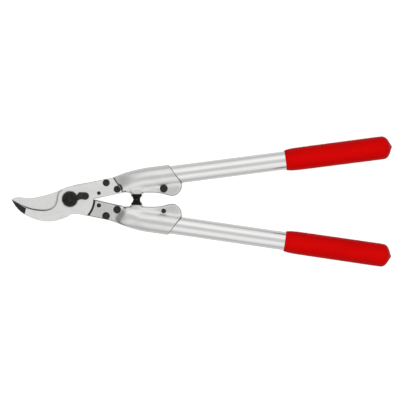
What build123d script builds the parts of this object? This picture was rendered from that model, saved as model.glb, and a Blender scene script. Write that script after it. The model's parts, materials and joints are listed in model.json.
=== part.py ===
from build123d import *
import math
import os

# Two-hand pruning shears (loppers) with curved bypass jaws, lying closed on a flat surface.
#
# All sizes are millimetres. The shears are drawn about the pivot: X runs from the jaws to the
# grips, Y towards the hook-side handle and Z up, with Z = 0 where hook and blade slide on each
# other. Every part is then moved so that the row's origin is under the middle of the closed
# shears, on the surface that they lie on.
#
# Both handles are the same forging. The blade-side one is the hook-side one turned over about X,
# so the plate screws and the clamp screw of the two handles go in from opposite faces.

# ---- driving dimensions -------------------------------------------------------------------------
OVERALL_LENGTH = 500.0
JAW_REACH = 77.5  # pivot to jaw tip
HANDLE_ANGLE = 7.82  # each tube's axis to the centre line, with the jaws closed
TUBE_OFFSET = 14.3  # the tube's axis passes this far from the pivot

PLATE = 5.0  # thickness of hook, blade and handle tongue
SLIDING_GAP = 0.05  # between hook and blade
THROAT_BEVEL = 1.8  # along the hook's inner edge
BOSS_RADIUS = 31.0  # round end of each plate, about the pivot
TONGUE_RADIUS = 32.5  # hollow end of each tongue, round the other plate's boss
INNER_EDGE_ANGLE = 1.4  # where the boss meets the tang's inner edge
BLADE_EDGE_ANGLE = 0.5  # the same on the blade, whose tang stands a little proud of its tongue
GRIND_WIDTH = 8.0  # the cutting blade's ground edge, across the back face
GRIND_DEPTH = 4.3

TUBE_RADIUS = 12.0
TUBE_WALL = 1.6
TUBE_START = 96.0  # along the tube's axis, from the foot of the pivot's perpendicular
SLEEVE_RADIUS = 14.1
SLEEVE_START = 104.0  # along the tube's axis
FLANGE_HALF = 7.0
SLOT_HALF = 0.9
THROUGH = 20.0  # past either face of the forging, for what is cut right through it

GRIP_START = 285.2
GRIP_MOUTH_RADIUS = 13.2
GRIP_FRONT_RADIUS = 14.9
GRIP_END_RADIUS = 15.3
GRIP_NOSE = 9.6  # height of the blunt cone that closes the grip

BOLT_RADIUS = 6.0
BOLT_FLAT = 5.0  # half the width across the two flats that key the bolt in the hook
THREAD_RADIUS = 5.5
RUNNING_CLEARANCE = 0.05
BUSH_RADIUS = 7.5
WASHER = 1.0
BOLT_HEAD_RADIUS = 10.6
BOLT_HEAD = 3.4
BOLT_HEAD_RECESS = 6.2  # radius of the turned hollow in the head's face
BOLT_HEAD_BEVEL = 1.2
RECESS_DEPTH = 0.6
THREAD_CHAMFER = 0.6
DRIVER_SLOT = (1.4, 0.9)  # width and depth of the slot in the bolt's threaded end

NUT_TIP_RADIUS = 10.9
NUT_ROOT_RADIUS = 9.5
NUT_TEETH = 36
NUT_FLANGE = 3.6
NUT_COLLAR_RADIUS = 7.8
NUT_HEIGHT = 4.8
MESH_GAP = 0.12
EDGE_BREAK = 0.5  # the bevel on the nut's edges
TOOTH_ROOT_SHARE = 0.42  # half of a tooth's foot, as a share of the pitch
TOOTH_TIP_SHARE = 0.16

SEGMENT_HEIGHT = 3.2
SEGMENT_SCREW = (20.2, 4.1)
SEGMENT_END_RADIUS = 4.9
SEGMENT_SCREW_RADIUS = 2.0
SEGMENT_HEAD_RADIUS = 3.0
SEGMENT_HEAD_HEIGHT = 1.8
SEGMENT_HEAD_SUNK = 1.2
SEGMENT_THREAD = 3.9  # how far the segment's screw goes into the hook

PLATE_SCREWS = ((47.5, 21.7), (62.0, 13.4))
DOWEL = (38.0, 8.1)
DOWEL_RADIUS = 2.2
CLAMP_SCREW = (123.1, 14.7)
SCREW_RADIUS = 2.5
SCREW_HOLE_RADIUS = 2.6
HEAD_RADIUS = 4.25
HEAD_HEIGHT = 2.6
NUT_SINK = 0.1  # the round nuts lie this far below the tongue's open face
HEAD_POCKET_RADIUS = 4.35
HEAD_BEVEL = 0.45
SOCKET_RADIUS = 2.3  # corner radius of the hexagon socket
SOCKET_DEPTH = 1.5

BUMPER_X = 87.5
BUMPER_SEAT = 6.5  # height of the seat above the centre line
BUMPER_RADIUS = 6.8
BUMPER_NOSE_RADIUS = 4.4
BUMPER_GAP = 0.1  # nose to the centre line
STEM_RADIUS = 3.4
STEM_LENGTH = 8.0
SEAT_RADIUS = 7.4
SEAT_BASE_RADIUS = 10.8
SEAT_HEIGHT = 3.4
SEAT_HALF_THICKNESS = 7.6  # the seat's flat sides stand this little proud of the flange

# The plate's end and the shoulder of the forging that it butts against.
SHOULDER_INNER = (69.7, 8.9)
BLADE_SHOULDER_INNER = (69.4, 8.4)
SHOULDER_OUTER = (56.5, 28.5)
TANG_START = (3.9, 17.8)
CREST_END = (-12.0, 12.3)
HOOK_TIP = (-JAW_REACH, -0.5)

ROW_ORIGIN = (OVERALL_LENGTH / 2 - JAW_REACH, 0.0, -GRIP_END_RADIUS)


# ---- helpers ------------------------------------------------------------------------------------
def polar(radius, degrees):
    """The point at a radius and an angle about the pivot."""
    angle = math.radians(degrees)
    return (radius * math.cos(angle), radius * math.sin(angle))


def mirrored(points):
    """The points on the other side of the centre line."""
    return [(x, -y) for x, y in points]


def pivot_arc(radius, start, end):
    """An arc about the pivot, from one angle to another."""
    return ThreePointArc(polar(radius, start), polar(radius, (start + end) / 2), polar(radius, end))


def slab(outline, low, high):
    """The outline made solid between two heights."""
    return extrude(Pos(0, 0, low) * make_face(outline), high - low)


def rod(radius, low, high, at=(0.0, 0.0)):
    """An upright cylinder between two heights."""
    return Pos(at[0], at[1], low) * Cylinder(
        radius, high - low, align=(Align.CENTER, Align.CENTER, Align.MIN)
    )


def chamfered_rod(radius, low, high, chamfer_size, at=(0.0, 0.0)):
    """An upright cylinder with its top edge bevelled."""
    blank = rod(radius, low, high, at)
    top = blank.faces().sort_by(Axis.Z)[-1]
    return chamfer(top.edges(), chamfer_size)


def hexagon_socket(top, at, radius=SOCKET_RADIUS, depth=SOCKET_DEPTH):
    """The key socket to cut into a screw's head."""
    return Pos(at[0], at[1], top - depth) * extrude(RegularPolygon(radius, 6), depth)


def along_tube(shape):
    """Moves a shape drawn along X onto the hook-side tube's axis."""
    return Pos(0, TUBE_OFFSET, 0) * Rot(0, 0, HANDLE_ANGLE) * shape


def turned_over(shape):
    """The same part on the blade side."""
    return Rot(180, 0, 0) * shape


# ---- jaws ---------------------------------------------------------------------------------------
def hook_outline():
    """The counter blade: a curved beak, the round boss and the tang."""
    belly_end = (8.6, -19.3)
    belly_points = [(-67, -15.0), (-50, -25.1), (-32, -29.5), (-16, -27.8), (-1, -21.6)]
    belly = Spline(HOOK_TIP, *belly_points, belly_end, tangents=[(7, -13), (1, 0)])
    boss_low = polar(BOSS_RADIUS, -45.6)
    waist = ThreePointArc(belly_end, (15.4, -20.3), boss_low)
    boss = pivot_arc(BOSS_RADIUS, -45.6, INNER_EDGE_ANGLE)
    inner = Line(polar(BOSS_RADIUS, INNER_EDGE_ANGLE), SHOULDER_INNER)
    end = Line(SHOULDER_INNER, SHOULDER_OUTER)
    outer = Line(SHOULDER_OUTER, TANG_START)
    crest = Spline(TANG_START, (-3.9, 15.6), CREST_END, tangents=[(-1, -0.206), (-1, -0.5)])
    return belly + waist + boss + inner + end + outer + crest + throat()


def throat():
    """The hook's hollow inner edge, from its crest to its tip."""
    upper_points = [(-16.7, 6), (-18, -1.5), (-20.8, -8.6), (-26.8, -12.8)]
    lower_points = [(-37, -14.1), (-49, -12.7), (-63, -7.9)]
    return Spline(CREST_END, *upper_points, *lower_points, HOOK_TIP)


def mouth_section(height):
    """The grinder's section at a height over the bevel's lower edge, and that much into the hook."""
    curve = throat()
    steps = 14
    stations = [step / steps for step in range(steps + 1)]
    into_hook = [curve.tangent_at(at).rotate(Axis.Z, 90) for at in stations]
    points = [curve.position_at(at) + normal * height for at, normal in zip(stations, into_hook)]
    outside = Polyline(points[-1], (-86.0, 8.0), (-60.0, 40.0), (-4.0, 32.0), points[0])
    return Pos(0, 0, PLATE - THROAT_BEVEL + height) * make_face(Spline(*points) + outside)


def throat_bevel():
    """What is ground off along the throat, at 45 degrees to the front face."""
    below, above = 0.5, 0.3
    return loft([mouth_section(-below), mouth_section(THROAT_BEVEL + above)], ruled=True)


def tip_facet():
    """What is ground off the hook's front face towards its tip."""
    across = (-58.2, -16.4)
    towards_tip = 166.8
    slope = 9.0
    stock = Box(60, 90, 20, align=(Align.MIN, Align.CENTER, Align.MIN))
    return Pos(*across, PLATE) * Rot(0, 0, towards_tip) * Rot(0, slope, 0) * stock


def hook_blade():
    blank = slab(hook_outline(), 0, PLATE)
    blank -= throat_bevel()
    blank -= tip_facet()
    key_hole = rod(BOLT_RADIUS + RUNNING_CLEARANCE, 0, PLATE)
    width = 2 * (BOLT_FLAT + RUNNING_CLEARANCE)
    blank -= key_hole & Pos(0, 0, PLATE / 2) * Box(4 * BOLT_RADIUS, width, PLATE)
    blank -= rod(SEGMENT_SCREW_RADIUS, PLATE - SEGMENT_THREAD - 0.1, PLATE, SEGMENT_SCREW)
    return drilled_plate(blank, 0, PLATE)


def drilled_plate(blank, inside, outside):
    """Cuts the screw holes, the head pockets and the dowel hole of a tang."""
    up = 1 if outside > inside else -1
    pocket_floor = outside - up * HEAD_HEIGHT
    for at in PLATE_SCREWS:
        at = (at[0], up * at[1])
        blank -= rod(SCREW_HOLE_RADIUS, min(inside, outside), max(inside, outside), at)
        blank -= rod(HEAD_POCKET_RADIUS, min(pocket_floor, outside), max(pocket_floor, outside), at)
    at = (DOWEL[0], up * DOWEL[1])
    return blank - rod(DOWEL_RADIUS, min(inside, outside), max(inside, outside), at)


def blade_outline():
    """The cutting blade: a scimitar, the round boss and the tang."""
    tip = (-76.9, -0.9)
    heel = (-13.0, -16.6)
    boss_high = polar(BOSS_RADIUS, 43.6)
    back_points = [(-71, 1.7), (-58, 0.9), (-38, 3.4), (-17, 9.9), (-5, 15.2), (6, 18.6)]
    back = Spline(tip, *back_points, boss_high)
    boss = pivot_arc(BOSS_RADIUS, 43.6, -BLADE_EDGE_ANGLE)
    corners = mirrored([BLADE_SHOULDER_INNER, SHOULDER_OUTER, TANG_START])
    tang = Polyline(polar(BOSS_RADIUS, -BLADE_EDGE_ANGLE), *corners)
    root = ThreePointArc(corners[-1], (-4.5, -16.5), heel)
    edge = Spline(heel, (-24, -18.3), (-38, -19.3), (-52, -17.0), (-65, -10.6), tip)
    return back + boss + tang + root + edge


def cutting_blade():
    blank = slab(blade_outline(), -PLATE, -SLIDING_GAP)
    back_face = blank.faces().sort_by(Axis.Z)[0]
    edge = back_face.edges().filter_by(GeomType.BSPLINE).sort_by_distance((-38, -19.3, -PLATE))[0]
    blank = chamfer(edge, GRIND_WIDTH, GRIND_DEPTH, reference=back_face)
    blank -= rod(BUSH_RADIUS, -PLATE, 0)
    return drilled_plate(blank, 0, -PLATE)


# ---- pivot --------------------------------------------------------------------------------------
def pivot_bush():
    return rod(BUSH_RADIUS, -PLATE, -SLIDING_GAP) - rod(BOLT_RADIUS + RUNNING_CLEARANCE, -PLATE, 0)


def pivot_washer():
    top = -PLATE - SLIDING_GAP
    overhang = 0.6
    disc = rod(BOLT_HEAD_RADIUS + overhang, top - WASHER, top)
    return disc - rod(BOLT_RADIUS + RUNNING_CLEARANCE, top - WASHER, top)


def pivot_bolt():
    """Round head under the blade, plain shank, two flats in the hook and a thread for the nut."""
    seat = -PLATE - SLIDING_GAP - WASHER
    head = chamfered_rod(BOLT_HEAD_RADIUS, -seat, -seat + BOLT_HEAD, BOLT_HEAD_BEVEL)
    head -= rod(BOLT_HEAD_RECESS, -seat + BOLT_HEAD - RECESS_DEPTH, -seat + BOLT_HEAD)
    head = turned_over(head)
    shank = rod(BOLT_RADIUS, seat, PLATE)
    flats = Pos(0, 0, PLATE / 2) * Box(4 * BOLT_RADIUS, 2 * BOLT_FLAT, PLATE)
    shank = (shank & flats) + rod(BOLT_RADIUS, seat, 0)
    nut_top = PLATE + NUT_HEIGHT
    tip = chamfered_rod(THREAD_RADIUS - THREAD_CHAMFER, PLATE, nut_top + 0.5, THREAD_CHAMFER)
    thread = rod(THREAD_RADIUS, PLATE, nut_top - 0.4)
    slot_width, slot_depth = DRIVER_SLOT
    slot_turn = 35
    slot = Pos(0, 0, nut_top + 0.5) * Rot(0, 0, slot_turn) * Box(4 * BOLT_RADIUS, slot_width, 2 * slot_depth)
    return head + shank + tip + thread - slot


def toothed_disc(tip_radius, root_radius, low, high):
    """A disc with straight teeth round its rim."""
    points = []
    pitch = 360 / NUT_TEETH
    for tooth in range(NUT_TEETH):
        centre = tooth * pitch
        root, tip = TOOTH_ROOT_SHARE * pitch, TOOTH_TIP_SHARE * pitch
        points += [polar(root_radius, centre - root), polar(tip_radius, centre - tip)]
        points += [polar(tip_radius, centre + tip), polar(root_radius, centre + root)]
    return slab(Polyline(*points, close=True), low, high)


def pivot_nut():
    flange = toothed_disc(NUT_TIP_RADIUS, NUT_ROOT_RADIUS, PLATE, PLATE + NUT_FLANGE)
    flange &= chamfered_rod(NUT_TIP_RADIUS, PLATE, PLATE + NUT_FLANGE, EDGE_BREAK)
    collar = chamfered_rod(NUT_COLLAR_RADIUS, PLATE, PLATE + NUT_HEIGHT, EDGE_BREAK)
    return flange + collar - rod(THREAD_RADIUS, PLATE, PLATE + NUT_HEIGHT)


def locking_segment():
    """The pawl that holds the nut: a round end for its screw and a toothed end in the nut."""
    centre = SEGMENT_SCREW
    lower = (centre[0], centre[1] - SEGMENT_END_RADIUS)
    upper = (centre[0], centre[1] + SEGMENT_END_RADIUS)
    outer = (centre[0] + SEGMENT_END_RADIUS, centre[1])
    lower_angle, upper_angle = -14, 30
    lower_tooth = polar(NUT_ROOT_RADIUS, lower_angle)
    upper_tooth = polar(NUT_ROOT_RADIUS, upper_angle)
    shoulder = (12.4, 9.2)
    outline = ThreePointArc(lower, outer, upper) + Line(upper, shoulder)
    outline += Line(shoulder, upper_tooth) + pivot_arc(NUT_ROOT_RADIUS, upper_angle, lower_angle)
    outline += Spline(lower_tooth, (14.8, -0.3), lower, tangents=[(1, 0.5), (1, -0.12)])
    top = PLATE + SEGMENT_HEIGHT
    body = slab(outline, PLATE, top)
    body -= toothed_disc(NUT_TIP_RADIUS + MESH_GAP, NUT_ROOT_RADIUS + MESH_GAP, PLATE, top)
    body -= rod(SEGMENT_SCREW_RADIUS + 0.1, PLATE, top, centre)
    return body - rod(SEGMENT_HEAD_RADIUS + 0.1, top - SEGMENT_HEAD_SUNK, top, centre)


def locking_screw():
    under_head = PLATE + SEGMENT_HEIGHT - SEGMENT_HEAD_SUNK
    top = under_head + SEGMENT_HEAD_HEIGHT
    head = chamfered_rod(SEGMENT_HEAD_RADIUS, under_head, top, HEAD_BEVEL, SEGMENT_SCREW)
    shank = rod(SEGMENT_SCREW_RADIUS, PLATE - SEGMENT_THREAD, under_head, SEGMENT_SCREW)
    return head + shank - hexagon_socket(top, SEGMENT_SCREW, radius=1.7, depth=1.0)


# ---- handle forging -----------------------------------------------------------------------------
def oval_section(station, centre, half_width, half_height, squareness):
    """A closed section across the tube's axis, from a rounded bar (4) to an ellipse (2)."""
    points = []
    steps = 16
    for step in range(steps):
        angle = math.tau * step / steps
        wide = math.copysign(abs(math.cos(angle)) ** (2 / squareness), math.cos(angle))
        high = math.copysign(abs(math.sin(angle)) ** (2 / squareness), math.sin(angle))
        points.append((centre + half_width * wide, half_height * high))
    across = Plane(origin=(station, 0, 0), x_dir=(0, 1, 0), z_dir=(1, 0, 0))
    return across * make_face(Spline(*points, periodic=True))


def forging_nose():
    """The forging swells from the flat tongue up to the round sleeve."""
    sections = [
        oval_section(56.0, -4.5, 11.0, 5.0, 4.0),
        oval_section(64.0, -3.3, 11.7, 6.6, 3.2),
        oval_section(74.5, -1.75, 12.65, 9.8, 2.5),
        oval_section(86.7, -0.7, 13.5, 12.7, 2.1),
        oval_section(96.0, -0.2, 13.9, 13.8, 2.0),
        oval_section(SLEEVE_START, 0.0, SLEEVE_RADIUS, SLEEVE_RADIUS, 2.0),
    ]
    return along_tube(loft(sections))


def sleeve():
    """The straight round sleeve, which shares the nose's last section."""
    sections = [
        oval_section(station, 0.0, SLEEVE_RADIUS, SLEEVE_RADIUS, 2.0)
        for station in (SLEEVE_START, SLEEVE_START + 60.0)
    ]
    return along_tube(loft(sections, ruled=True))


def tongue():
    """The flat bar under the hook's tang, hollowed round the blade's boss."""
    start = polar(TONGUE_RADIUS, INNER_EDGE_ANGLE)
    outer_angle = 41.8
    outer_start = polar(TONGUE_RADIUS, outer_angle)
    hollow = pivot_arc(TONGUE_RADIUS, outer_angle, INNER_EDGE_ANGLE)
    sides = Polyline(start, SHOULDER_INNER, (76.0, 10.2), (76.0, 32.0), SHOULDER_OUTER, outer_start)
    return slab(hollow + sides, -PLATE, 0)


def clamp_flange():
    """The flat web on the sleeve's inner side, ending in the clamp's round lobe."""
    start = (72.0, 9.2)
    knee = (108.0, 9.2)
    side = (147.0, 21.0)
    lobe = [(121, 8.0), (130, 5.7), (135.5, 5.1), (141.5, 7.6), (145.6, 12.6)]
    edge = Line(start, knee) + Spline(knee, *lobe, side, tangents=[(1, 0), (0, 1)])
    rest = Polyline(side, (143.0, 28.0), (76.0, 24.0), start)
    web = slab(edge + rest, -FLANGE_HALF, FLANGE_HALF)
    level_edges = web.edges().filter_by(lambda e: abs(abs(e.center().Z) - FLANGE_HALF) < 0.01)
    inner_rims = level_edges.filter_by(lambda e: e.center().Y < 12)
    return fillet(inner_rims, 2.2)


def bumper_seat():
    """The conical boss that carries the rubber bumper."""
    seat = Cone(SEAT_RADIUS, SEAT_BASE_RADIUS, SEAT_HEIGHT, align=(Align.CENTER, Align.CENTER, Align.MIN))
    seat += rod(SEAT_BASE_RADIUS, SEAT_HEIGHT, SEAT_HEIGHT + 5)
    seat &= Box(4 * SEAT_BASE_RADIUS, 2 * SEAT_HALF_THICKNESS, 4 * SEAT_BASE_RADIUS)
    return Pos(BUMPER_X, BUMPER_SEAT, 0) * Rot(-90, 0, 0) * seat


def sleeve_end_cut():
    """What lies past the sleeve's slanted mouth."""
    top = (129.4, 45.9)
    lean = 36.4
    room = Box(80, 120, 60, align=(Align.MIN, Align.CENTER, Align.CENTER))
    return Pos(*top, 0) * Rot(0, 0, lean) * room


def plate_pocket():
    """The space in front of the shoulder, above the tongue, where the hook's tang lies."""
    run = (SHOULDER_INNER[0] - SHOULDER_OUTER[0], SHOULDER_INNER[1] - SHOULDER_OUTER[1])
    lean = math.degrees(math.atan2(run[1], run[0])) + 90
    room = Box(60, 120, 30, align=(Align.MAX, Align.CENTER, Align.MIN))
    return Pos(*SHOULDER_OUTER, 0) * Rot(0, 0, lean) * room


def handle_forging():
    body = forging_nose() + sleeve() + clamp_flange() + bumper_seat()
    body -= plate_pocket()
    boss_room = rod(TONGUE_RADIUS, -THROUGH, THROUGH)
    body = body - boss_room + tongue() - sleeve_end_cut()
    tube_room = Rot(0, 90, 0) * rod(TUBE_RADIUS, TUBE_START, TUBE_START + 90)
    body -= along_tube(tube_room)
    clamp_slot = Box(60, 24, 2 * SLOT_HALF, align=(Align.MIN, Align.MAX, Align.CENTER))
    body -= Pos(103, 22, 0) * clamp_slot
    for at in PLATE_SCREWS:
        body -= rod(SCREW_HOLE_RADIUS, -PLATE, 0, at)
        body -= rod(HEAD_POCKET_RADIUS, -THROUGH, HEAD_HEIGHT - PLATE, at)
    rear_screw_x, rear_screw_y = PLATE_SCREWS[1]
    body -= rod(HEAD_POCKET_RADIUS + 0.9, 0, THROUGH, (rear_screw_x + 1.0, rear_screw_y + 0.9))
    body -= rod(DOWEL_RADIUS, -PLATE, 0, DOWEL)
    body -= rod(SCREW_RADIUS, -THROUGH, THROUGH, CLAMP_SCREW)
    body -= rod(HEAD_POCKET_RADIUS, FLANGE_HALF - HEAD_HEIGHT, THROUGH, CLAMP_SCREW)
    body -= Pos(BUMPER_X, BUMPER_SEAT, 0) * Rot(-90, 0, 0) * rod(STEM_RADIUS, 0, STEM_LENGTH)
    return body.solids().sort_by(SortBy.VOLUME)[-1]


# ---- handle fittings ----------------------------------------------------------------------------
def grip_end():
    """Where the grip's point lies along the tube's axis."""
    return (OVERALL_LENGTH - JAW_REACH) / math.cos(math.radians(HANDLE_ANGLE))


def tube_end():
    """Where the tube ends inside the grip."""
    return grip_end() - GRIP_NOSE - 1.0


def handle_tube():
    end = tube_end()
    wall = rod(TUBE_RADIUS, TUBE_START, end) - rod(TUBE_RADIUS - TUBE_WALL, TUBE_START, end)
    return along_tube(Rot(0, 90, 0) * wall)


def handle_grip():
    """A dipped sleeve with a flared mouth and a blunt conical end."""
    end = grip_end()
    start = GRIP_START
    floor = tube_end()
    side = Polyline((start, TUBE_RADIUS), (start, GRIP_MOUTH_RADIUS))
    side += Spline(
        (start, GRIP_MOUTH_RADIUS),
        (start + 8, GRIP_FRONT_RADIUS - 0.1),
        (start + 18, GRIP_FRONT_RADIUS + 0.1),
        tangents=[(5, 1.4), (10, 0.06)],
    )
    shoulder = (end - GRIP_NOSE - 3.0, GRIP_END_RADIUS)
    cone_start = (end - 5.1, 11.2)
    cone_end = (end - 0.5, 1.4)
    side += Line((start + 18, GRIP_FRONT_RADIUS + 0.1), shoulder)
    side += Spline(shoulder, (end - GRIP_NOSE + 0.9, 14.2), cone_start, tangents=[(1, 0.006), (1, -2.1)])
    side += Line(cone_start, cone_end)
    side += Spline(cone_end, (end, 0), tangents=[(1, -2.1), (0, -1)])
    side += Polyline((end, 0), (floor, 0), (floor, TUBE_RADIUS), (start, TUBE_RADIUS))
    return along_tube(revolve(make_face(side), Axis.X))


def handle_bumper():
    """A domed rubber stop with a stem that plugs into its seat."""
    seat = BUMPER_SEAT
    nose = BUMPER_GAP
    skirt = (BUMPER_RADIUS, seat - 1.8)
    flat_end = (BUMPER_NOSE_RADIUS - 0.6, nose)
    nose_edge = (BUMPER_NOSE_RADIUS, nose + 0.6)
    side = Polyline((0, nose), flat_end)
    side += ThreePointArc(flat_end, (BUMPER_NOSE_RADIUS - 0.2, nose + 0.2), nose_edge)
    side += Spline(nose_edge, (5.3, 2.6), skirt, tangents=[(0.3, 1), (0.45, 1)])
    side += Polyline(
        skirt,
        (BUMPER_RADIUS, seat),
        (STEM_RADIUS, seat),
        (STEM_RADIUS, seat + STEM_LENGTH - 0.5),
        (0, seat + STEM_LENGTH - 0.5),
        (0, nose),
    )
    return Pos(BUMPER_X, 0, 0) * revolve(make_face(side), Axis.Y)


def plate_screws():
    """The two screws through tang and tongue, with low heads sunk in the plate."""
    screws = []
    for at in PLATE_SCREWS:
        top = PLATE + 0.25
        head = chamfered_rod(HEAD_RADIUS, PLATE - HEAD_HEIGHT, top, HEAD_BEVEL, at)
        shank = rod(SCREW_RADIUS, -PLATE + 0.3, PLATE - HEAD_HEIGHT, at)
        screws.append(head + shank - hexagon_socket(top, at))
    return Compound(children=[s.solids()[0] for s in screws])


def plate_nuts():
    """The round nuts sunk in the tongue."""
    nuts = []
    for at in PLATE_SCREWS:
        flipped = (at[0], -at[1])
        seat, top = PLATE - HEAD_HEIGHT, PLATE - NUT_SINK
        ring = chamfered_rod(HEAD_RADIUS, seat, top, HEAD_BEVEL, flipped)
        ring -= rod(SCREW_RADIUS, seat, top, flipped)
        nuts.append(turned_over(ring))
    return Compound(children=[n.solids()[0] for n in nuts])


def locating_dowel():
    return rod(DOWEL_RADIUS, -PLATE, PLATE, DOWEL)


def clamp_screw():
    """The screw that pinches the sleeve's two ears onto the tube."""
    top = FLANGE_HALF + 0.2
    head = chamfered_rod(HEAD_RADIUS, FLANGE_HALF - HEAD_HEIGHT, top, HEAD_BEVEL, CLAMP_SCREW)
    shank = rod(SCREW_RADIUS, -FLANGE_HALF + 0.2, FLANGE_HALF - HEAD_HEIGHT, CLAMP_SCREW)
    return head + shank - hexagon_socket(top, CLAMP_SCREW)


# ---- the whole assembly -------------------------------------------------------------------------
HANDLE_PARTS = {
    "forging": handle_forging,
    "tube": handle_tube,
    "grip": handle_grip,
    "bumper": handle_bumper,
    "plate_screws": plate_screws,
    "plate_nuts": plate_nuts,
    "locating_dowel": locating_dowel,
    "clamp_screw": clamp_screw,
}

HEAD_PARTS = {
    "hook_blade": hook_blade,
    "cutting_blade": cutting_blade,
    "pivot_bolt": pivot_bolt,
    "pivot_bush": pivot_bush,
    "pivot_washer": pivot_washer,
    "pivot_nut": pivot_nut,
    "locking_segment": locking_segment,
    "locking_screw": locking_screw,
}


def write(name, shape):
    """Moves a part from the pivot to the row's origin and writes it."""
    x, y, z = ROW_ORIGIN
    export_step(Pos(-x, -y, -z) * shape, f"parts/{name}.step")


def main():
    os.makedirs("parts", exist_ok=True)
    for name, make in HEAD_PARTS.items():
        write(name, make())
    for name, make in HANDLE_PARTS.items():
        shape = make()
        write(f"hook_handle_{name}", shape)
        write(f"blade_handle_{name}", turned_over(shape))
    print("pivot in the row's frame:", [-value for value in ROW_ORIGIN])


main()
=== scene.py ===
"""Long-handled bypass shears: detailed pieces, finishes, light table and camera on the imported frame."""

import json
import logging
import math
from collections.abc import Iterable, Sequence
from dataclasses import dataclass
from enum import Enum

import bmesh
import bpy
import numpy as np
from mathutils import Matrix, Vector


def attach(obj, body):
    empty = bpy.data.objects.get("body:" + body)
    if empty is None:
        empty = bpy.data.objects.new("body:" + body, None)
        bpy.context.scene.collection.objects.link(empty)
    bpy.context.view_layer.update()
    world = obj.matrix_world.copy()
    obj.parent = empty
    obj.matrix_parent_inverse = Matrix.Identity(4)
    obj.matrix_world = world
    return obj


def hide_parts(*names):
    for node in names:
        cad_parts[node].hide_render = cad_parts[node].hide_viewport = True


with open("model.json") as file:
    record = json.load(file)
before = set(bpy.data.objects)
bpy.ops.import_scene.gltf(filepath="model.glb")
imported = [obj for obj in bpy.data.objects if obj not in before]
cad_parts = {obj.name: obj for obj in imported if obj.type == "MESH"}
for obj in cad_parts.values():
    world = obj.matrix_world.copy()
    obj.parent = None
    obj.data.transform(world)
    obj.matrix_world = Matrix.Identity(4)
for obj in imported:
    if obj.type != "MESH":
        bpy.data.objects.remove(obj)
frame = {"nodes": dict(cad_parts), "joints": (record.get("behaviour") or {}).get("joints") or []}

MM = 0.001
MERGE_DISTANCE = 0.002 * MM
FLAT_ANGLE = math.radians(0.4)
SHARP_ANGLE = math.radians(34)
ROUNDED_ANGLE = math.radians(32)
ROUNDING_STEPS = 2
FULL_TURN = 2 * math.pi
# The mesh attribute that says where the forgings get painted shade on their edges and corners.
EDGE_SHADE_ATTRIBUTE = "skin"
SMEAR = 3  # a smear in the gloss is this many times as large as the grain
PIVOT = Vector(frame["joints"][0]["pos_m"])

log = logging.getLogger("shears")
Colour = tuple[float, float, float]


class Side(Enum):
    """The two halves of the shears, each named after the jaw that it carries."""

    HOOK = "hook"
    BLADE = "blade"

    @property
    def body(self) -> str:
        """The frame's body that this half's pieces ride on."""
        return f"{self.value}_side"

    @property
    def sign(self) -> int:
        """+1 where the handle lies towards +Y, and -1 where it lies towards -Y."""
        return 1 if self is Side.HOOK else -1

    def node(self, piece: str) -> str:
        """The name of the CAD node of one of this half's handle pieces."""
        return f"{self.value}_handle_{piece}"


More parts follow.
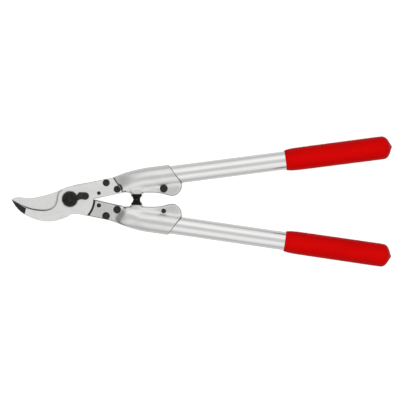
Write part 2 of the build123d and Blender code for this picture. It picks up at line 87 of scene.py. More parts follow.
# ---- finishes -----------------------------------------------------------------------------------
class Recipe:
    """The node tree of one material, written step by step."""

    def __init__(self, name: str) -> None:
        """Starts a material of this name with a plain surface shader."""
        self.material = bpy.data.materials.new(name)
        self.material.use_nodes = True
        self.nodes = self.material.node_tree.nodes
        self.links = self.material.node_tree.links
        self.surface = self.nodes["Principled BSDF"]

    def plain(self, settings: dict[str, float | tuple[float, ...]]) -> None:
        """Sets shader values that are the same all over the surface."""
        for socket, value in settings.items():
            self.surface.inputs[socket].default_value = value

    def place(self, grain: Sequence[float], centre: Sequence[float] = (0, 0, 0),
              turn: float = 0.0) -> bpy.types.NodeSocket:
        """Gives object coordinates as a pattern's own coordinates.

        Args:
            grain: The length of one step of the pattern along X, Y and Z, in metres.
            centre: Where the pattern's middle lies, in metres.
            turn: The angle of the pattern about Z, in radians.

        Returns:
            The socket that carries the pattern's coordinates.
        """
        coordinates = self.nodes.new("ShaderNodeTexCoord")
        mapping = self.nodes.new("ShaderNodeMapping")
        mapping.vector_type = "TEXTURE"
        mapping.inputs["Location"].default_value = centre
        mapping.inputs["Rotation"].default_value = (0, 0, turn)
        mapping.inputs["Scale"].default_value = grain
        self.links.new(coordinates.outputs["Object"], mapping.inputs["Vector"])
        return mapping.outputs["Vector"]

    def noise(self, where: bpy.types.NodeSocket, detail: float = 3.0) -> bpy.types.NodeSocket:
        """Gives a noise from 0 to 1 whose lumps are one step of the pattern wide."""
        noise = self.nodes.new("ShaderNodeTexNoise")
        noise.inputs["Scale"].default_value = 1.0
        noise.inputs["Detail"].default_value = detail
        self.links.new(where, noise.inputs["Vector"])
        return noise.outputs["Fac"]

    def rings(self, where: bpy.types.NodeSocket) -> bpy.types.NodeSocket:
        """Gives round ridges about the pattern's Z axis, one for each step of the pattern."""
        wave = self.nodes.new("ShaderNodeTexWave")
        wave.wave_type = "RINGS"
        wave.rings_direction = "Z"
        wave.inputs["Scale"].default_value = 0.5
        wave.inputs["Distortion"].default_value = 0.4
        self.links.new(where, wave.inputs["Vector"])
        return wave.outputs["Fac"]

    def along(self, where: bpy.types.NodeSocket) -> bpy.types.NodeSocket:
        """Gives the pattern's X coordinate."""
        parts = self.nodes.new("ShaderNodeSeparateXYZ")
        self.links.new(where, parts.inputs["Vector"])
        return parts.outputs["X"]

    def spread(self, value: bpy.types.NodeSocket, to: tuple[float, float],
               start: tuple[float, float] = (0.32, 0.68)) -> bpy.types.NodeSocket:
        """Stretches a pattern's values.

        Args:
            value: The pattern.
            to: The values to give.
            start: The pattern's values that become them.

        Returns:
            The stretched pattern.
        """
        span = self.nodes.new("ShaderNodeMapRange")
        for socket, number in zip(("From Min", "From Max", "To Min", "To Max"), (*start, *to)):
            span.inputs[socket].default_value = number
        self.links.new(value, span.inputs["Value"])
        return span.outputs["Result"]

    def distance(self, where: bpy.types.NodeSocket) -> bpy.types.NodeSocket:
        """Gives the distance from the pattern's middle."""
        length = self.nodes.new("ShaderNodeVectorMath")
        length.operation = "LENGTH"
        self.links.new(where, length.inputs[0])
        return length.outputs["Value"]

    def off(self, value: bpy.types.NodeSocket, middle: float) -> bpy.types.NodeSocket:
        """Gives how far a pattern's value is from a middle value."""
        less, size = self.nodes.new("ShaderNodeMath"), self.nodes.new("ShaderNodeMath")
        less.operation, size.operation = "SUBTRACT", "ABSOLUTE"
        less.inputs[1].default_value = middle
        self.links.new(value, less.inputs[0])
        self.links.new(less.outputs["Value"], size.inputs[0])
        return size.outputs["Value"]

    def sum(self, first: bpy.types.NodeSocket, second: bpy.types.NodeSocket) -> bpy.types.NodeSocket:
        """Adds two patterns."""
        adder = self.nodes.new("ShaderNodeMath")
        adder.operation = "ADD"
        self.links.new(first, adder.inputs[0])
        self.links.new(second, adder.inputs[1])
        return adder.outputs["Value"]

    def mixed(self, amount: bpy.types.NodeSocket, high: Colour) -> bpy.types.NodeSocket:
        """Makes the base colour a mix that goes to a colour as the pattern goes from 0 to 1.

        Args:
            amount: The pattern.
            high: The colour at 1.

        Returns:
            The socket of the colour at 0, still to be set or linked.
        """
        mix = self.nodes.new("ShaderNodeMix")
        mix.data_type = "RGBA"
        first, second = (socket for socket in mix.inputs if socket.type == "RGBA")
        second.default_value = (*high, 1.0)
        self.links.new(amount, mix.inputs["Factor"])
        result = next(socket for socket in mix.outputs if socket.type == "RGBA")
        self.links.new(result, self.surface.inputs["Base Color"])
        return first

    def colours(self, amount: bpy.types.NodeSocket, low: Colour, high: Colour) -> None:
        """Colours the surface from low to high as the pattern goes from 0 to 1."""
        self.mixed(amount, high).default_value = (*low, 1.0)

    def shade(self, name: str, colour: Colour) -> None:
        """Shades the surface towards a colour where the mesh's own attribute of this name goes to 1."""
        amount = self.nodes.new("ShaderNodeAttribute")
        amount.attribute_name = name
        unshaded = self.surface.inputs["Base Color"].links[0].from_socket
        self.links.new(unshaded, self.mixed(amount.outputs["Fac"], colour))

    def relief(self, height: bpy.types.NodeSocket, depth: float) -> None:
        """Raises the surface by the pattern, whose whole height is depth in metres."""
        bump = self.nodes.new("ShaderNodeBump")
        bump.inputs["Strength"].default_value = 1.0
        bump.inputs["Distance"].default_value = depth
        self.links.new(height, bump.inputs["Height"])
        self.links.new(bump.outputs["Normal"], self.surface.inputs["Normal"])

    def gloss(self, roughness: bpy.types.NodeSocket) -> None:
        """Varies the surface's roughness by the pattern."""
        self.links.new(roughness, self.surface.inputs["Roughness"])


@dataclass(frozen=True)
class Finish:
    """A surface with broad patches of two shades and a fine grain in its relief and its gloss."""

    name: str
    light: Colour
    dark: Colour
    roughness: tuple[float, float]
    grain: tuple[float, float, float]
    depth: float
    patches: tuple[float, float, float] = (0.014, 0.010, 0.010)
    turn: float = 0.0
    metallic: float = 0.0
    specular: float = 0.5

    def tint(self, recipe: Recipe) -> None:
        """Colours the surface in broad patches."""
        patches = recipe.noise(recipe.place(self.patches, turn=self.turn), detail=4.0)
        recipe.colours(recipe.spread(patches, (0.0, 1.0)), self.dark, self.light)

    def height(self, recipe: Recipe) -> bpy.types.NodeSocket:
        """Gives the pattern of the surface's relief."""
        return recipe.noise(recipe.place(self.grain, turn=self.turn), detail=2.0)

    def material(self) -> bpy.types.Material:
        """Makes the material."""
        recipe = Recipe(self.name)
        recipe.plain({"Metallic": self.metallic, "Specular IOR Level": self.specular})
        self.tint(recipe)
        height = self.height(recipe)
        recipe.relief(height, self.depth)
        smears = recipe.noise(recipe.place([SMEAR * size for size in self.grain], turn=self.turn))
        recipe.gloss(recipe.spread(smears, self.roughness))
        return recipe.material


@dataclass(frozen=True)
class PaintedShadeBevel(Finish):
    """Ground steel with painted shade on the throat bevel: dark at the hook's point, turning bright along the
    throat.
    """

    point: float = -0.2085
    bright: float = -0.1925
    raggedness: float = 0.12

    def tint(self, recipe: Recipe) -> None:
        """Paints shade on the surface, from dark to light along the jaws, with a ragged edge."""
        where = recipe.place((1, 1, 1))
        across = recipe.spread(recipe.along(where), (0.0, 1.0), (self.point, self.bright))
        ragged = recipe.spread(recipe.noise(recipe.place(self.patches)), (-self.raggedness, self.raggedness))
        recipe.colours(recipe.sum(across, ragged), self.dark, self.light)


@dataclass(frozen=True)
class RingShadePlate(Finish):
    """Ground steel with painted shade: a dark ring about the pivot against the rim of the other plate's boss.
    """

    ring: tuple[float, float] = (30.4 * MM, 33.2 * MM)
    core: float = 0.8
    unshaded_jaw: tuple[float, float] = (9 * MM, 12 * MM)
    tall: float = 1000.0

    def tint(self, recipe: Recipe) -> None:
        """Paints shade on the surface as a dark ring about the pivot, left off towards the jaws."""
        middle, half = sum(self.ring) / 2, (self.ring[1] - self.ring[0]) / 2
        away = recipe.distance(recipe.place((1, 1, self.tall), centre=PIVOT))
        outside = recipe.spread(recipe.off(away, middle), (0.0, 1.0), (self.core * half, half))
        jaws = recipe.spread(recipe.along(recipe.place((1, 1, 1), centre=PIVOT)), (1.0, 0.0), self.unshaded_jaw)
        recipe.colours(recipe.sum(outside, jaws), self.dark, self.light)


@dataclass(frozen=True)
class ForgingWithEdgeShade(Finish):
    """Polished forging with painted shade that darkens its edges and corners."""

    # The colour of the painted shade on the edges and corners.
    skin: Colour = (0.16, 0.16, 0.155)

    def tint(self, recipe: Recipe) -> None:
        """Colours the surface in broad patches, with painted shade on its edges."""
        super().tint(recipe)
        recipe.shade(EDGE_SHADE_ATTRIBUTE, self.skin)


@dataclass(frozen=True)
class TurnedBlack(Finish):
    """Black steel with the fine rings of the lathe about the pivot."""

    pitch: float = 0.45 * MM
    grain_share: float = 0.5

    def height(self, recipe: Recipe) -> bpy.types.NodeSocket:
        """Gives the rings with a light grain on them."""
        rings = recipe.rings(recipe.place((self.pitch,) * 3, centre=PIVOT))
        grain = recipe.spread(recipe.noise(recipe.place(self.grain)), (0.0, self.grain_share))
        return recipe.sum(rings, grain)


STEEL = dict(metallic=1.0, roughness=(0.24, 0.34))
JAW_STEEL = Finish(
    "jaw_steel_ground", light=(0.85, 0.85, 0.838), dark=(0.805, 0.805, 0.793),
    grain=(5 * MM, 0.22 * MM, 2 * MM), depth=0.0045 * MM, turn=math.radians(6), **STEEL)
# Painted shade: a dark ring about the pivot on the blade's flat face.
RING_SHADE_STEEL = RingShadePlate(
    "jaw_steel_ring_painted_shade", light=(0.82, 0.82, 0.808), dark=(0.035, 0.035, 0.033),
    grain=(5 * MM, 0.22 * MM, 2 * MM), depth=0.0045 * MM, turn=math.radians(6), **STEEL)
# Painted shade on the hook's throat bevel, dark at the point and bright along the throat.
THROAT_SHADE_STEEL = PaintedShadeBevel(
    "jaw_steel_throat_painted_shade", light=(0.70, 0.70, 0.69), dark=(0.035, 0.035, 0.04),
    grain=(0.2 * MM, 2 * MM, 2 * MM), depth=0.003 * MM, **STEEL)
# Painted shade: the plates' rounded rims are a darker copy of the jaw steel, drawn as a dark outline.
RIM_SHADE_STEEL = Finish(
    "jaw_steel_rim_painted_shade", light=(0.46, 0.46, 0.45), dark=(0.34, 0.34, 0.335),
    grain=(0.4 * MM, 0.4 * MM, 0.8 * MM), depth=0.006 * MM, **STEEL)
POINT_STEEL = Finish(
    "jaw_steel_point_facet", light=(0.046, 0.046, 0.055), dark=(0.032, 0.032, 0.039),
    grain=(0.25 * MM, 3 * MM, 1 * MM), depth=0.004 * MM, turn=math.radians(-38), **STEEL)
# Forged aluminium with painted shade on its edges and corners.
FORGED_ALUMINIUM = ForgingWithEdgeShade(
    "forged_aluminium_satin", light=(0.675, 0.68, 0.665), dark=(0.635, 0.64, 0.625), metallic=1.0,
    roughness=(0.25, 0.29), grain=(1.3 * MM, 1.3 * MM, 1.3 * MM), depth=0.003 * MM)
DIPPED_VINYL = Finish(
    "grip_vinyl_dipped", light=(0.61, 0.0004, 0.0004), dark=(0.55, 0.0003, 0.0003), specular=0.06,
    roughness=(0.38, 0.52), grain=(1.1 * MM, 1.1 * MM, 1.1 * MM), depth=0.02 * MM,
    patches=(0.03, 0.012, 0.012))
MOULDED_RUBBER = Finish(
    "bumper_rubber_moulded", light=(0.008, 0.008, 0.0075), dark=(0.004, 0.004, 0.004), specular=0.12,
    roughness=(0.5, 0.7), grain=(0.35 * MM, 0.35 * MM, 0.35 * MM), depth=0.02 * MM)
BLACK_STEEL = Finish(
    "black_steel_oiled", light=(0.013, 0.013, 0.012), dark=(0.006, 0.006, 0.0055), specular=0.34,
    roughness=(0.2, 0.34), grain=(0.4 * MM, 0.4 * MM, 0.4 * MM), depth=0.012 * MM,
    patches=(0.004, 0.004, 0.004))
TURNED_STEEL = TurnedBlack(
    "black_steel_turned", light=(0.011, 0.011, 0.0105), dark=(0.002, 0.002, 0.002), specular=0.26,
    roughness=(0.16, 0.3), grain=(0.8 * MM, 0.8 * MM, 0.8 * MM), depth=0.06 * MM,
    patches=(0.004, 0.004, 0.004))
BUSH_BRONZE = Finish(
    "bush_bronze_sintered", light=(0.62, 0.43, 0.2), dark=(0.45, 0.3, 0.14), metallic=1.0,
    roughness=(0.35, 0.5), grain=(0.3 * MM, 0.3 * MM, 0.3 * MM), depth=0.015 * MM,
    patches=(0.003, 0.003, 0.003))


def drawn_aluminium(side: Side, turn: float) -> Finish:
    """The anodised tube's finish, with its drawing lines along the tube.

    Args:
        side: The half of the shears that the tube belongs to.
        turn: The tube's angle about Z, in radians.

    Returns:
        The finish.
    """
    return Finish(
        f"tube_aluminium_{side.value}", light=(0.735, 0.74, 0.73), dark=(0.70, 0.705, 0.695), metallic=1.0,
        roughness=(0.19, 0.26), grain=(60 * MM, 0.3 * MM, 0.3 * MM), depth=0.003 * MM,
        patches=(0.08, 0.004, 0.004), turn=turn)


# ---- making pieces ------------------------------------------------------------------------------
def joined_mesh(node: str) -> bmesh.types.BMesh:
    """A copy of a CAD node's mesh with its loose triangles joined into whole faces.

    Args:
        node: The CAD node.

    Returns:
        The copy.
    """
    shape = bmesh.new()
    shape.from_mesh(frame["nodes"][node].data)
    bmesh.ops.remove_doubles(shape, verts=shape.verts[:], dist=MERGE_DISTANCE)
    bmesh.ops.dissolve_limit(shape, angle_limit=FLAT_ANGLE, verts=shape.verts[:], edges=shape.edges[:])
    return shape


def placed(name: str, mesh: bpy.types.Mesh, finishes: Iterable[bpy.types.Material], body: str,
           nodes: Sequence[str]) -> bpy.types.Object:
    """Links a finished piece to the scene, hangs it on its body and hides the CAD nodes that it stands for.

    Args:
        name: The piece's name.
        mesh: Its mesh, in its place.
        finishes: Its materials, in the order of its material numbers.
        body: The body that it rides on.
        nodes: The CAD nodes that it stands for.

    Returns:
        The piece.
    """
    if "custom_normal" in mesh.attributes:
        mesh.attributes.remove(mesh.attributes["custom_normal"])
    for finish in finishes:
        mesh.materials.append(finish)
    mesh.shade_smooth()
    mesh.set_sharp_from_angle(angle=SHARP_ANGLE)
    piece = bpy.data.objects.new(name, mesh)
    bpy.context.scene.collection.objects.link(piece)
    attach(piece, body)
    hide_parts(*nodes)
    log.info("%s: %d faces for %s", name, len(mesh.polygons), ", ".join(nodes))
    return piece


def mesh_from(name: str, shape: bmesh.types.BMesh) -> bpy.types.Mesh:
    """Turns a bmesh into a mesh with no materials and frees it.

    Args:
        name: The mesh's name.
        shape: The bmesh.

    Returns:
        The mesh.
    """
    mesh = bpy.data.meshes.new(name)
    shape.to_mesh(mesh)
    shape.free()
    return mesh


def rounded_edges(piece: bpy.types.Object, width: float, finish: int = -1) -> None:
    """Rounds a piece's sharp edges.

    Args:
        piece: The piece.
        width: The rounding's width, in metres.
        finish: The number of the rounding's own material, or -1 for the faces' own.
    """
    bevel = piece.modifiers.new("edge_rounding", "BEVEL")
    bevel.width = width
    bevel.segments = ROUNDING_STEPS
    bevel.material = finish
    bevel.limit_method = "ANGLE"
    bevel.angle_limit = ROUNDED_ANGLE
    bevel.use_clamp_overlap = False
    bevel.harden_normals = True


def turned_mesh(name: str, profile: Sequence[tuple[float, float]], closed: bool, steps: int,
                place: Matrix) -> bpy.types.Mesh:
    """Turns a profile on its X axis, as on a lathe.

    Args:
        name: The mesh's name.
        profile: Stations along the axis and radii, in metres.
        closed: Whether the profile's last point joins its first, as in a ring.
        steps: The number of steps round the axis.
        place: Moves the turned shape to its place.

    Returns:
        The mesh.
    """
    shape = bmesh.new()
    points = [shape.verts.new((station, 0, radius)) for station, radius in profile]
    for start, end in zip(points, points[1:]):
        shape.edges.new((start, end))
    if closed:
        shape.edges.new((points[-1], points[0]))
    bmesh.ops.spin(
        shape, geom=shape.verts[:] + shape.edges[:], cent=(0, 0, 0), axis=(1, 0, 0), dvec=(0, 0, 0),
        angle=FULL_TURN, steps=steps, use_merge=True, use_normal_flip=False, use_duplicate=False)
    bmesh.ops.remove_doubles(shape, verts=shape.verts[:], dist=MERGE_DISTANCE)
    bmesh.ops.recalc_face_normals(shape, faces=shape.faces[:])
    bmesh.ops.transform(shape, matrix=place, verts=shape.verts[:])
    return mesh_from(name, shape)


# ---- jaws ---------------------------------------------------------------------------------------
@dataclass
class Jaws:
    """The hook and the cutting blade, two ground plates."""

    edge: float = 0.45 * MM
    steep: float = 0.25
    facet: float = 0.97
    level: float = 0.999

    def hook(self) -> None:
        """Makes the hook with its dark point facet and its throat bevel, which carries painted shade."""
        shape = joined_mesh("hook_blade")
        # Steep faces on the jaw side: the throat bevel gets painted shade, and the nearly flat point facet
        # gets its own dark steel.
        for face in shape.faces:
            if self.steep < face.normal.z < self.level and face.calc_center_median().x < PIVOT.x:
                face.material_index = 2 if face.normal.z > self.facet else 1
        finishes = [finish.material() for finish in (JAW_STEEL, THROAT_SHADE_STEEL, POINT_STEEL, RIM_SHADE_STEEL)]
        mesh = mesh_from("hook_plate", shape)
        piece = placed(mesh.name, mesh, finishes, Side.HOOK.body, ["hook_blade"])
        # The rounded rims take the last material, the painted rim shade.
        rounded_edges(piece, self.edge, len(finishes) - 1)

    def blade(self) -> None:
        """Makes the cutting blade."""
        shape = joined_mesh("cutting_blade")
        # Flat top faces get the painted ring of shade about the pivot; the rest is plain ground steel.
        for face in shape.faces:
            face.material_index = int(face.normal.z > self.level)
        finishes = [finish.material() for finish in (JAW_STEEL, RING_SHADE_STEEL, RIM_SHADE_STEEL)]
        mesh = mesh_from("blade_plate", shape)
        piece = placed(mesh.name, mesh, finishes, Side.BLADE.body, ["cutting_blade"])
        # The rounded rims take the last material, the painted rim shade.
        rounded_edges(piece, self.edge, len(finishes) - 1)

    def build(self) -> None:
        """Makes both jaws."""
        self.hook()
        self.blade()


# ---- pivot --------------------------------------------------------------------------------------
@dataclass
class Pivot:
    """The bolt that the jaws turn on, with its toothed nut and the pawl that locks it."""

    edge: float = 0.14 * MM

    def small_part(self, node: str, finish: Finish, body: str) -> None:
        """Makes one part of the pivot with rounded edges.

        Args:
            node: Its CAD node.
            finish: Its finish.
            body: The body that it rides on.
        """
        name = f"{node}_detailed"
        piece = placed(name, mesh_from(name, joined_mesh(node)), [finish.material()], body, [node])
        rounded_edges(piece, self.edge)

    def build(self) -> None:
        """Makes the whole pivot."""
        self.small_part("pivot_nut", TURNED_STEEL, Side.HOOK.body)
        self.small_part("pivot_bolt", TURNED_STEEL, Side.HOOK.body)
        self.small_part("locking_segment", BLACK_STEEL, Side.HOOK.body)
        self.small_part("locking_screw", BLACK_STEEL, Side.HOOK.body)
        self.small_part("pivot_washer", BUSH_BRONZE, Side.HOOK.body)
        self.small_part("pivot_bush", BUSH_BRONZE, Side.BLADE.body)


# ---- handles ------------------------------------------------------------------------------------
@dataclass
class Handle:
    """One handle: the forging that holds its jaw, the tube, the dipped grip and the small parts."""

    side: Side
    angle: float = math.radians(7.82)
    axis_offset: float = 14.3 * MM
    tube_radius: float = 12 * MM
    tube_wall: float = 1.6 * MM
    tube_start: float = 96 * MM
    grip_start: float = 285.2 * MM
    grip_end: float = 426.48 * MM
    grip_floor: float = 10.6 * MM
    grip_bore: float = 11.95 * MM
    turned_steps: int = 40
    grain_size: float = 0.5 * MM
    root_station: tuple[float, float] = (76 * MM, 84 * MM)
    root_height: float = 4 * MM
    root_inside: float = 4 * MM
    root_passes: int = 420
    clamp_station: float = 123.1 * MM
    clamp_height: float = 14.7 * MM
    clamp_room: tuple[float, float] = (5 * MM, 8 * MM)
    wear_passes: int = 18
    wear_to_edge_shade: tuple[float, float] = (0.1 * MM, 0.3 * MM)
    edge_shade_passes: int = 3
    foot_inner: tuple[float, float] = (69.7 * MM, 8.9 * MM)
    foot_outer: tuple[float, float] = (56.5 * MM, 28.5 * MM)
    tongue_level: float = 5.2 * MM
    foot_level: float = 0.6 * MM
    foot_top: float = 13.9 * MM
    foot_lift: float = 1.9 * MM
    foot_run: tuple[float, float] = (8 * MM, 26 * MM)
    edge: float = 0.2 * MM
    stop_station: float = 87.5 * MM
    stop_profile: tuple[tuple[float, float], ...] = (
        (14.0, 0.0), (14.0, 3.35), (6.52, 3.35), (6.52, 7.0), (5.6, 7.3), (4.9, 7.2), (4.2, 6.2), (2.6, 5.0),
        (1.0, 4.6), (0.3, 4.45), (0.01, 4.35), (0.01, 0.0))
    grip_profile: tuple[tuple[float, float], ...] = (
        (0.05, 12.1), (0.0, 12.9), (0.3, 13.3), (3.0, 13.9), (8.0, 14.7), (18.0, 15.0), (60.0, 15.1),
        (105.0, 15.2), (128.0, 15.3), (130.9, 15.05), (133.4, 13.9), (136.3, 11.2), (138.6, 6.3),
        (140.5, 2.0), (141.15, 0.8), (141.22, 0.0))

    @property
    def turn(self) -> float:
        """The tube's angle about Z, in radians."""
        return self.side.sign * self.angle

    @property
    def place(self) -> Matrix:
        """Moves a shape on the X axis to the tube's axis, with its stations counted from beside the pivot."""
        start = PIVOT + Vector((0, self.side.sign * self.axis_offset, 0))
        return Matrix.Translation(start) @ Matrix.Rotation(self.turn, 4, "Z")

    def tube(self) -> None:
        """Makes the drawn tube."""
        inside, end = self.tube_radius - self.tube_wall, self.grip_end - self.grip_floor
        start, outside = self.tube_start, self.tube_radius
        profile = [(start, inside), (start, outside), (end, outside), (end, inside)]
        node = self.side.node("tube")
        mesh = turned_mesh(f"{node}_drawn", profile, True, 3 * self.turned_steps, self.place)
        finish = drawn_aluminium(self.side, self.turn).material()
        placed(f"{node}_drawn", mesh, [finish], self.side.body, [node])

    def grip(self) -> None:
        """Makes the dipped grip, a closed sleeve with a soft mouth and a blunt cone at its end."""
        outside = [(self.grip_start + station * MM, radius * MM) for station, radius in self.grip_profile]
        end = self.grip_end - self.grip_floor
        inside = [(end, 0.0), (end, self.grip_bore), (self.grip_start + 1.5 * MM, self.grip_bore)]
        node = self.side.node("grip")
        mesh = turned_mesh(f"{node}_dipped", inside + outside, False, self.turned_steps, self.place)
        finish = DIPPED_VINYL.material()
        piece = placed(f"{node}_dipped", mesh, [finish], self.side.body, [node])
        skin = piece.modifiers.new("soft_skin", "SUBSURF")
        skin.levels = skin.render_levels = 2

    def cast_mesh(self, node: str) -> bpy.types.Mesh:
        """Gives a CAD node an even skin of small faces, as the start of its worn and blended shape.

        Args:
            node: The CAD node.

        Returns:
            The even mesh.
        """
        rough = bpy.data.objects.new("rough_forging", mesh_from("rough_forging", joined_mesh(node)))
        bpy.context.scene.collection.objects.link(rough)
        remesh = rough.modifiers.new("even_skin", "REMESH")
        remesh.mode = "VOXEL"
        remesh.voxel_size = self.grain_size
        even = bpy.data.meshes.new_from_object(rough.evaluated_get(bpy.context.evaluated_depsgraph_get()))
        bpy.data.objects.remove(rough)
        return even

    def root_weight(self, points: np.ndarray) -> np.ndarray:
        """Says where the flange's root against the sleeve may be filled.

        Args:
            points: The forging's points.

        Returns:
            A weight from 0 to 1 for each point.
        """
        local = np.c_[points, np.ones(len(points))] @ np.array(self.place.inverted()).T
        station, inward = local[:, 0], -self.side.sign * local[:, 1]
        first, last = self.root_station
        weight = np.clip((station - first) / (last - first), 0, 1)
        weight *= (inward > self.root_inside) & (np.abs(local[:, 2]) > self.root_height)
        screw = PIVOT + Vector((self.clamp_station, self.side.sign * self.clamp_height, 0))
        near, far = self.clamp_room
        distance = np.hypot(points[:, 0] - screw.x, points[:, 1] - screw.y)
        return weight * np.clip((distance - near) / (far - near), 0, 1)

    def lift_foot(self, points: np.ndarray) -> None:
        """Steepens the foot of the nose where it rises from the tongue's open face.

        Args:
            points: The forging's points, which are moved.
        """
        flip = np.array((1, self.side.sign))
        inner, outer = (PIVOT.xy + Vector(flip * end) for end in (self.foot_inner, self.foot_outer))
        along = (outer - inner).normalized()
        away = Vector((-along.y, along.x)) * -self.side.sign
        depth = (points[:, :2] - np.array(inner)) @ np.array(away)
        foot, run = self.foot_run
        ease = [np.clip(part, 0, 1) for part in (depth / foot, (depth - foot) / (run - foot))]
        up, down = (part * part * (3 - 2 * part) for part in ease)
        height = (points[:, 2] - PIVOT.z) * -self.side.sign
        above = np.clip((height - self.tongue_level) / self.foot_level, 0, 1)
        lift = self.foot_lift * up * (1 - down) * above
        points[:, 2] -= self.side.sign * np.minimum(lift, np.clip(self.foot_top - height, 0, None))

    def blend_roots(self, mesh: bpy.types.Mesh) -> None:
        """Fills the crease between flange and sleeve to a soft forged radius, then wears every edge and marks
        the most worn points for painted shade.

        Args:
            mesh: The forging's even mesh.
        """
        points = np.empty(len(mesh.vertices) * 3)
        mesh.vertices.foreach_get("co", points)
        points = points.reshape(-1, 3)
        pairs = np.empty(len(mesh.edges) * 2, np.int32)
        mesh.edges.foreach_get("vertices", pairs)
        pairs = np.vstack([pairs.reshape(-1, 2), pairs.reshape(-1, 2)[:, ::-1]])
        pairs = pairs[np.argsort(pairs[:, 0], kind="stable")]
        starts = np.searchsorted(pairs[:, 0], np.arange(len(points)))
        counts = np.bincount(pairs[:, 0], minlength=len(points))
        self.lift_foot(points)
        weight = self.root_weight(points)
        outward = np.sign(points[:, 2] - PIVOT.z)
        for _ in range(self.root_passes):
            mean = np.add.reduceat(points[pairs[:, 1], 2], starts) / counts
            rise = np.clip((mean - points[:, 2]) * outward, 0, None)
            points[:, 2] += 0.5 * weight * outward * rise
        unworn = points.copy()
        for _ in range(self.wear_passes):
            mean = np.add.reduceat(points[pairs[:, 1]], starts, axis=0) / counts[:, None]
            points += 0.5 * (mean - points)
        # Painted shade: the points that the wear moved most, the edges and corners, get a weight that darkens
        # them.
        worn = np.linalg.norm(points - unworn, axis=1)
        for _ in range(self.edge_shade_passes):
            worn += 0.5 * (np.add.reduceat(worn[pairs[:, 1]], starts) / counts - worn)
        least, most = self.wear_to_edge_shade
        skin = mesh.attributes.new(EDGE_SHADE_ATTRIBUTE, "FLOAT", "POINT")
        skin.data.foreach_set("value", np.clip((worn - least) / (most - least), 0, 1))
        mesh.vertices.foreach_set("co", points.ravel())
        mesh.update()

    def forging(self) -> None:
        """Makes the forging with soft roots, worn edges and painted shade on its edges."""
        node = self.side.node("forging")
        mesh = self.cast_mesh(node)
        self.blend_roots(mesh)
        mesh.name = f"{node}_blended"
        placed(mesh.name, mesh, [FORGED_ALUMINIUM.material()], self.side.body, [node])

    def small_parts(self) -> None:
        """Makes the screws, nuts and dowel."""
        for part in ("plate_screws", "plate_nuts", "clamp_screw", "locating_dowel"):
            node = self.side.node(part)
            name = f"{node}_detailed"
            mesh = mesh_from(name, joined_mesh(node))
            piece = placed(name, mesh, [BLACK_STEEL.material()], self.side.body, [node])
            rounded_edges(piece, self.edge)

    def stop(self) -> None:
        """Makes the rubber stop, whose nose meets the other handle's on the centre line."""
        node = self.side.node("bumper")
        profile = [(height * MM, radius * MM) for height, radius in self.stop_profile]
        upright = Matrix.Rotation(self.side.sign * math.radians(90), 4, "Z")
        place = Matrix.Translation(PIVOT + Vector((self.stop_station, 0, 0))) @ upright
        mesh = turned_mesh(f"{node}_moulded", profile, False, 2 * self.turned_steps, place)
        placed(f"{node}_moulded", mesh, [MOULDED_RUBBER.material()], self.side.body, [node])

    def build(self) -> None:
        """Makes the whole handle."""
        self.forging()
        self.tube()
        self.grip()
        self.small_parts()
        self.stop()


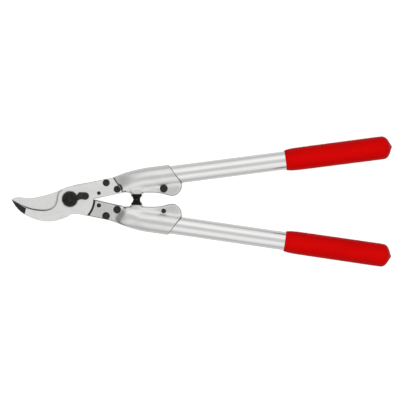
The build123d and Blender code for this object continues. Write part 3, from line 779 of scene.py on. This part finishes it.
# ---- studio -------------------------------------------------------------------------------------
@dataclass
class Studio:
    """A lit white table in a soft white tent, and a camera with a long lens straight above."""

    floor_half: float = 12.0
    floor_glow: float = 0.5
    floor_shades: tuple[float, float] = (0.85, 0.86)
    floor_patch: float = 0.3
    distance: float = 3.0
    seen_width: float = 0.5256
    seen_height: float = 0.0165
    centre: tuple[float, float] = (-0.0017, 0.0001)
    roll: float = 0.0079
    sensor: float = 36.0
    tent: tuple[tuple[float, float], ...] = (
        (-1.0, 0.78), (-0.6, 0.8), (-0.3, 0.76), (0.0, 0.62), (0.3, 1.0), (0.6, 1.14), (0.8, 1.22),
        (0.9, 1.08), (0.97, 0.82), (1.0, 0.72))
    back_light: float = 0.04
    left_gap: float = 0.72
    gap_reach: tuple[float, float] = (-0.8, -0.2)
    gap_foot: tuple[float, float] = (0.1, 0.35)
    ambient: float = 0.36
    key_light: float = 2.3
    key_softness: float = math.radians(50)

    def floor(self) -> None:
        """Makes the table, which glows a little so that nothing casts a hard shadow on it."""
        shape = bmesh.new()
        bmesh.ops.create_grid(shape, x_segments=1, y_segments=1, size=self.floor_half)
        mesh = mesh_from("light_table", shape)
        recipe = Recipe("light_table")
        low, high = self.floor_shades
        recipe.colours(recipe.noise(recipe.place((self.floor_patch,) * 3)), (low,) * 3, (high,) * 3)
        recipe.plain({"Roughness": 0.8, "Specular IOR Level": 0.1, "Emission Color": (1, 1, 1, 1),
                      "Emission Strength": self.floor_glow})
        mesh.materials.append(recipe.material)
        table = bpy.data.objects.new("light_table", mesh)
        bpy.context.scene.collection.objects.link(table)
        table.visible_diffuse = False
        table.visible_glossy = False

    def ramp(self, tree: bpy.types.NodeTree, value: bpy.types.NodeSocket, **ends: float) -> bpy.types.Node:
        """Adds a range to the tent's nodes.

        Args:
            tree: The tent's node tree.
            value: What the range reads.
            ends: The ends that differ from 0 and 1, as from_min, from_max, to_min and to_max.

        Returns:
            The node.
        """
        span = tree.nodes.new("ShaderNodeMapRange")
        for name, number in ends.items():
            span.inputs[name.replace("_", " ").title()].default_value = number
        tree.links.new(value, span.inputs["Value"])
        return span

    def light(self) -> None:
        """Lights the scene with a white tent that is brightest halfway up, with a dark card on the left."""
        world = bpy.data.worlds.new("tent")
        world.use_nodes = True
        bpy.context.scene.world = world
        tree = world.node_tree
        nodes, links = tree.nodes, tree.links
        direction = nodes.new("ShaderNodeTexCoord")
        parts = nodes.new("ShaderNodeSeparateXYZ")
        links.new(direction.outputs["Generated"], parts.inputs["Vector"])
        height = self.ramp(tree, parts.outputs["Z"], from_min=-1.0)
        curve = nodes.new("ShaderNodeFloatCurve")
        top = max(strength for _, strength in self.tent)
        points = curve.mapping.curves[0].points
        while len(points) < len(self.tent):
            points.new(0.5, 0.5)
        for point, (level, strength) in zip(points, self.tent):
            point.location = ((level + 1) / 2, strength / top)
        curve.mapping.update()
        links.new(height.outputs["Result"], curve.inputs["Value"])
        slant = self.ramp(tree, parts.outputs["Y"], from_min=-1.0, to_min=top * (1 - self.back_light),
                          to_max=top * (1 + self.back_light))
        (left, right), (low, high) = self.gap_reach, self.gap_foot
        gap = self.ramp(tree, parts.outputs["X"], from_min=left, from_max=right)
        card = self.ramp(tree, parts.outputs["Z"], from_min=low, from_max=high, to_min=1.0,
                         to_max=1 - self.left_gap)
        gap.interpolation_type = card.interpolation_type = "SMOOTHSTEP"
        links.new(card.outputs["Result"], gap.inputs["To Min"])
        rays = nodes.new("ShaderNodeLightPath")
        softer = self.ramp(tree, rays.outputs["Is Diffuse Ray"], to_min=1.0, to_max=self.ambient)
        result = curve.outputs["Value"]
        for factor in (slant.outputs["Result"], gap.outputs["Result"], softer.outputs["Result"]):
            product = nodes.new("ShaderNodeMath")
            product.operation = "MULTIPLY"
            links.new(result, product.inputs[0])
            links.new(factor, product.inputs[1])
            result = product.outputs["Value"]
        links.new(result, nodes["Background"].inputs["Strength"])
        nodes["Background"].inputs["Color"].default_value = (1, 1, 1, 1)
        key = bpy.data.lights.new("key", "SUN")
        key.energy = self.key_light
        key.angle = self.key_softness
        lamp = bpy.data.objects.new("key", key)
        lamp.visible_glossy = False
        bpy.context.scene.collection.objects.link(lamp)

    def camera(self) -> None:
        """Makes the camera."""
        lens = bpy.data.cameras.new("camera")
        lens.sensor_width = self.sensor
        lens.lens = self.sensor * self.distance / self.seen_width
        lens.clip_end = 100.0
        camera = bpy.data.objects.new("camera", lens)
        camera.location = (*self.centre, self.seen_height + self.distance)
        camera.rotation_euler = (0, 0, self.roll)
        bpy.context.scene.collection.objects.link(camera)
        bpy.context.scene.camera = camera

    def build(self) -> None:
        """Makes the table, the light and the camera."""
        self.floor()
        self.light()
        self.camera()
        bpy.context.scene.view_settings.view_transform = "Standard"


def main() -> None:
    """Makes every piece in order, then the studio."""
    logging.basicConfig(level=logging.INFO, format="%(message)s")
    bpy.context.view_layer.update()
    Jaws().build()
    Pivot().build()
    for side in Side:
        Handle(side).build()
    Studio().build()


if __name__ == "__main__":
    main()
